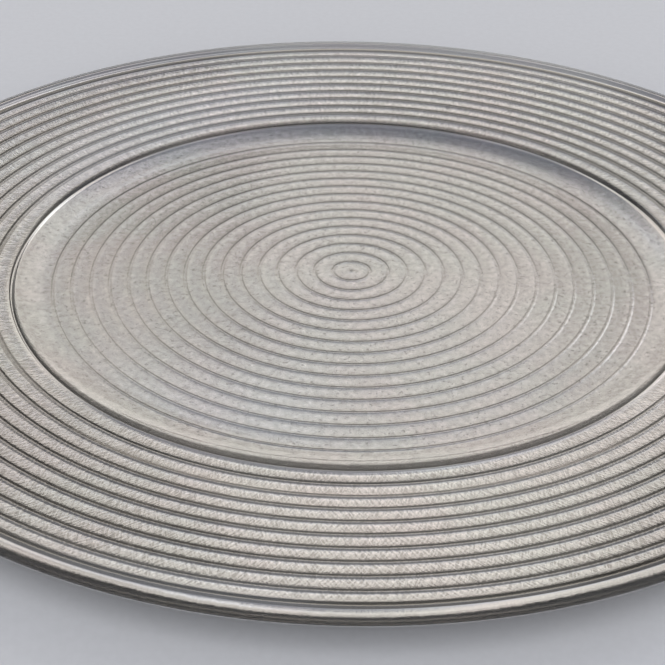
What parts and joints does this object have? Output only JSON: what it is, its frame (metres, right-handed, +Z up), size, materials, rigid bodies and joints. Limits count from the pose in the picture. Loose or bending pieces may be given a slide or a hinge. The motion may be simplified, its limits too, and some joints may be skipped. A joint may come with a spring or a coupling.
{
  "type": "charger plate",
  "caption": "Round glass charger plate with a shallow well and a broad rim, reeded and silvered on its back, with a smooth upper face and a polished lip.",
  "frame": {"origin": "middle of the base, on the surface that the plate stands on", "axes": "+Z up along the plate's axis; the plate is round, so +X and +Y are free"},
  "size_m": [0.33, 0.33, 0.014],
  "materials": {
    "clear_glass": "fire polished",
    "silver": "satin, seen through the glass",
    "backing_paint": "dull sprayed enamel"
  },
  "bodies": {
    "root": {"glass_plate": "clear_glass", "silver_coat": "silver", "paint_coat": "backing_paint"}
  },
  "joints": []
}
